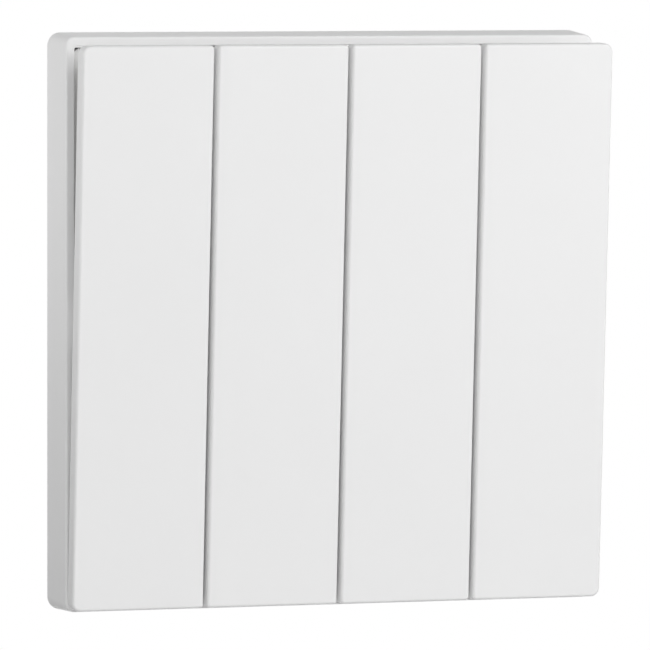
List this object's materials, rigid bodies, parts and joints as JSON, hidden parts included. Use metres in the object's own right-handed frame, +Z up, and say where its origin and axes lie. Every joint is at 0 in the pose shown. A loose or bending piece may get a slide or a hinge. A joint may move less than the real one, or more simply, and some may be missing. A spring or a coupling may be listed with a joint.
{
  "type": "four-gang light switch",
  "caption": "Square white wall switch with full-height rocker keys side by side in a slim drafted frame, over a rear contact housing with screw terminals.",
  "frame": {"origin": "centre of the plate on the wall's face, midway between the two fixing slots", "axes": "+Z up the wall, +X to the right seen from the front, front towards -Y, into the wall +Y"},
  "size_m": [0.086, 0.0393, 0.086],
  "materials": {
    "white_plastic": "satin moulded",
    "chassis_plastic": "moulded",
    "housing_plastic": "moulded",
    "plunger_nylon": "moulded",
    "terminal_brass": "stamped",
    "contact_silver": "bright",
    "spring_steel": "drawn wire",
    "screw_steel": "zinc plated"
  },
  "bodies": {
    "base": {"front_frame": "white_plastic", "chassis": "chassis_plastic", "rear_housing": "housing_plastic", "terminal_screws": "screw_steel", "housing_screws": "screw_steel", "fixed_contacts": "contact_silver", "common_terminal_1": "terminal_brass", "common_terminal_2": "terminal_brass", "common_terminal_3": "terminal_brass", "common_terminal_4": "terminal_brass", "load_terminal_1": "terminal_brass", "load_terminal_2": "terminal_brass", "load_terminal_3": "terminal_brass", "load_terminal_4": "terminal_brass"},
    "key_1": {"rocker_key_1": "white_plastic", "plunger_1": "plunger_nylon", "plunger_spring_1": "spring_steel"},
    "blade_1": {"contact_blade_1": "terminal_brass", "moving_contact_1": "contact_silver"},
    "key_2": {"rocker_key_2": "white_plastic", "plunger_2": "plunger_nylon", "plunger_spring_2": "spring_steel"},
    "blade_2": {"contact_blade_2": "terminal_brass", "moving_contact_2": "contact_silver"},
    "key_3": {"rocker_key_3": "white_plastic", "plunger_3": "plunger_nylon", "plunger_spring_3": "spring_steel"},
    "blade_3": {"contact_blade_3": "terminal_brass", "moving_contact_3": "contact_silver"},
    "key_4": {"rocker_key_4": "white_plastic", "plunger_4": "plunger_nylon", "plunger_spring_4": "spring_steel"},
    "blade_4": {"contact_blade_4": "terminal_brass", "moving_contact_4": "contact_silver"}
  },
  "joints": [
    {"name": "key_1_rock", "type": "hinge", "parent": "base", "child": "key_1", "pos_m": [-0.0237, -0.004, 0], "axis": [-1, 0, 0], "range_deg": [0, 6.4]},
    {"name": "blade_1_rock", "type": "hinge", "parent": "base", "child": "blade_1", "pos_m": [-0.0237, 0.0133, 0], "axis": [1, 0, 0], "range_deg": [0, 9.6]},
    {"name": "key_2_rock", "type": "hinge", "parent": "base", "child": "key_2", "pos_m": [-0.0079, -0.004, 0], "axis": [-1, 0, 0], "range_deg": [0, 6.4]},
    {"name": "blade_2_rock", "type": "hinge", "parent": "base", "child": "blade_2", "pos_m": [-0.0079, 0.0133, 0], "axis": [1, 0, 0], "range_deg": [0, 9.6]},
    {"name": "key_3_rock", "type": "hinge", "parent": "base", "child": "key_3", "pos_m": [0.0079, -0.004, 0], "axis": [-1, 0, 0], "range_deg": [0, 6.4]},
    {"name": "blade_3_rock", "type": "hinge", "parent": "base", "child": "blade_3", "pos_m": [0.0079, 0.0133, 0], "axis": [1, 0, 0], "range_deg": [0, 9.6]},
    {"name": "key_4_rock", "type": "hinge", "parent": "base", "child": "key_4", "pos_m": [0.0237, -0.004, 0], "axis": [-1, 0, 0], "range_deg": [0, 6.4]},
    {"name": "blade_4_rock", "type": "hinge", "parent": "base", "child": "blade_4", "pos_m": [0.0237, 0.0133, 0], "axis": [1, 0, 0], "range_deg": [0, 9.6]}
  ],
  "couplings": [
    {"joint": "blade_1_rock", "follows": "key_1_rock", "ratio": 1.5},
    {"joint": "blade_2_rock", "follows": "key_2_rock", "ratio": 1.5},
    {"joint": "blade_3_rock", "follows": "key_3_rock", "ratio": 1.5},
    {"joint": "blade_4_rock", "follows": "key_4_rock", "ratio": 1.5}
  ]
}
